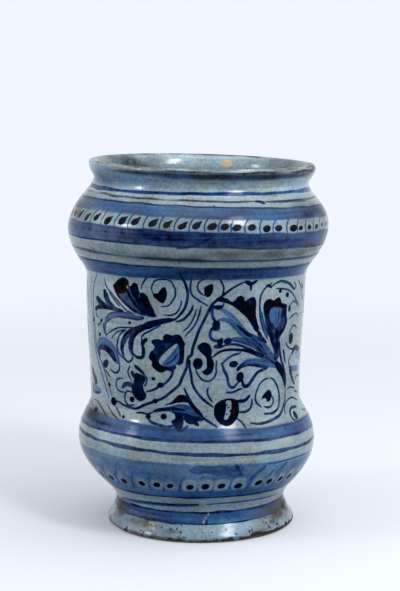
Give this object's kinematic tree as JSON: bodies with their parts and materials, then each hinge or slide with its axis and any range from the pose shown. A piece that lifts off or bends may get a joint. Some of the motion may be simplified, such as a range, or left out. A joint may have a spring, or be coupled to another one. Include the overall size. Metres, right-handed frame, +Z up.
{
  "type": "albarello drug jar",
  "caption": "Waisted glazed earthenware drug jar with a swelling shoulder, a lower drum, a flared foot and a wide mouth with a turned-out lip, made to hold dry remedies.",
  "frame": {"origin": "on the axis of the jar, at the face that it stands on", "axes": "+Z up along the axis of the jar, -Y towards the side that the picture shows"},
  "size_m": [0.171, 0.171, 0.24],
  "materials": {
    "clay": "matt bare buff earthenware",
    "slip": "matt fired slip, a little paler than the clay",
    "painted_glaze": "glossy pale blue-grey tin glaze, painted in cobalt blue",
    "plain_glaze": "glossy plain pale blue-grey tin glaze"
  },
  "bodies": {
    "root": {"foot_ring": "clay", "foot_slip": "slip", "lower_bowl": "clay", "lower_slip": "slip", "waist_wall": "clay", "upper_slip": "slip", "shoulder_drum": "clay", "neck_slip": "slip", "neck_rim": "clay", "outer_glaze": "painted_glaze", "inner_glaze": "plain_glaze"}
  },
  "joints": []
}
